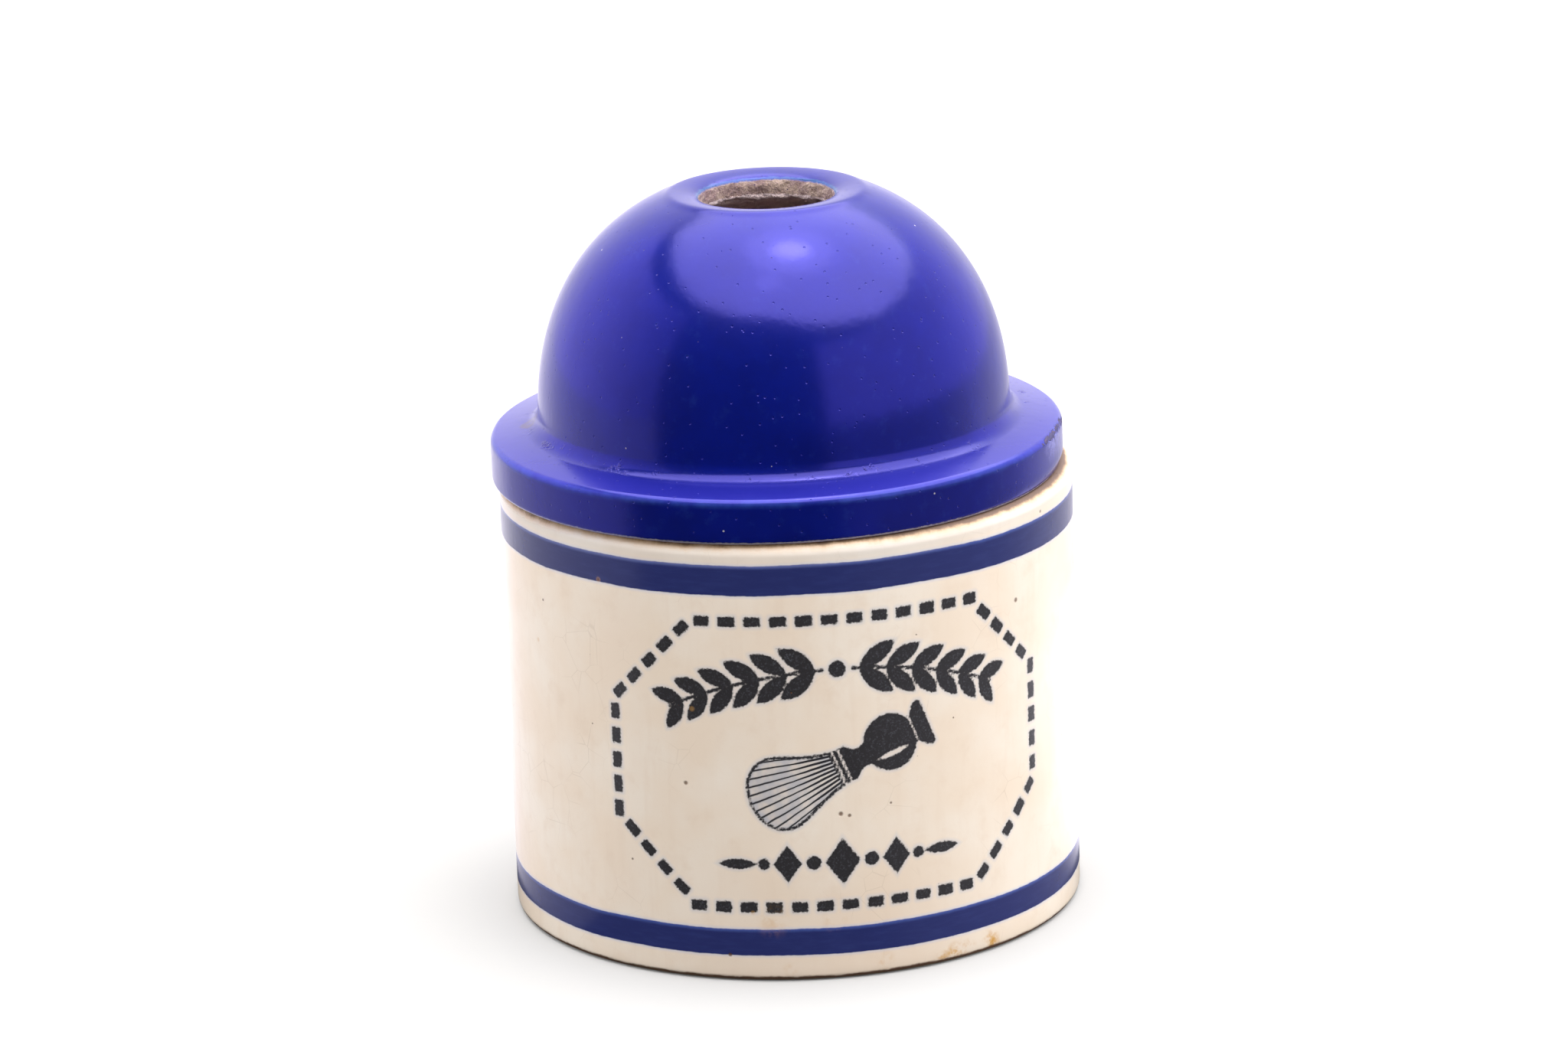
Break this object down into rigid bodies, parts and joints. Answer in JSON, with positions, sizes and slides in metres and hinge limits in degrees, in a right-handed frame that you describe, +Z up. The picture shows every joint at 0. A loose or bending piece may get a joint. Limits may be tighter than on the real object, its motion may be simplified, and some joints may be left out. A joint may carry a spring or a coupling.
{
  "type": "shaving bowl",
  "caption": "Cylindrical glazed pottery jar for rinsing and soaking a razor, with a loose domed lid and a handle hole in its crown.",
  "frame": {"origin": "middle of the base, on the surface that the jar stands on", "axes": "+Z up along the jar's axis; the decorated front faces -Y; the lid lies a little to -X in its play"},
  "size_m": [0.0708, 0.07, 0.089],
  "materials": {
    "cream_glaze": "cream earthenware under a clear gloss glaze, finely mottled",
    "blue_glaze": "deep royal-blue gloss glaze, thinner and paler on edges",
    "bare_clay": "unglazed buff clay, matt and speckled",
    "print_ink": "dark slate transfer print under the glaze"
  },
  "bodies": {
    "jar": {"jar": "cream_glaze"},
    "lid": {"lid": "blue_glaze"}
  },
  "joints": [
    {"name": "lid_lift", "type": "slide", "parent": "jar", "child": "lid", "axis": [0, 0, 1], "range_m": [0, 0.06]}
  ]
}
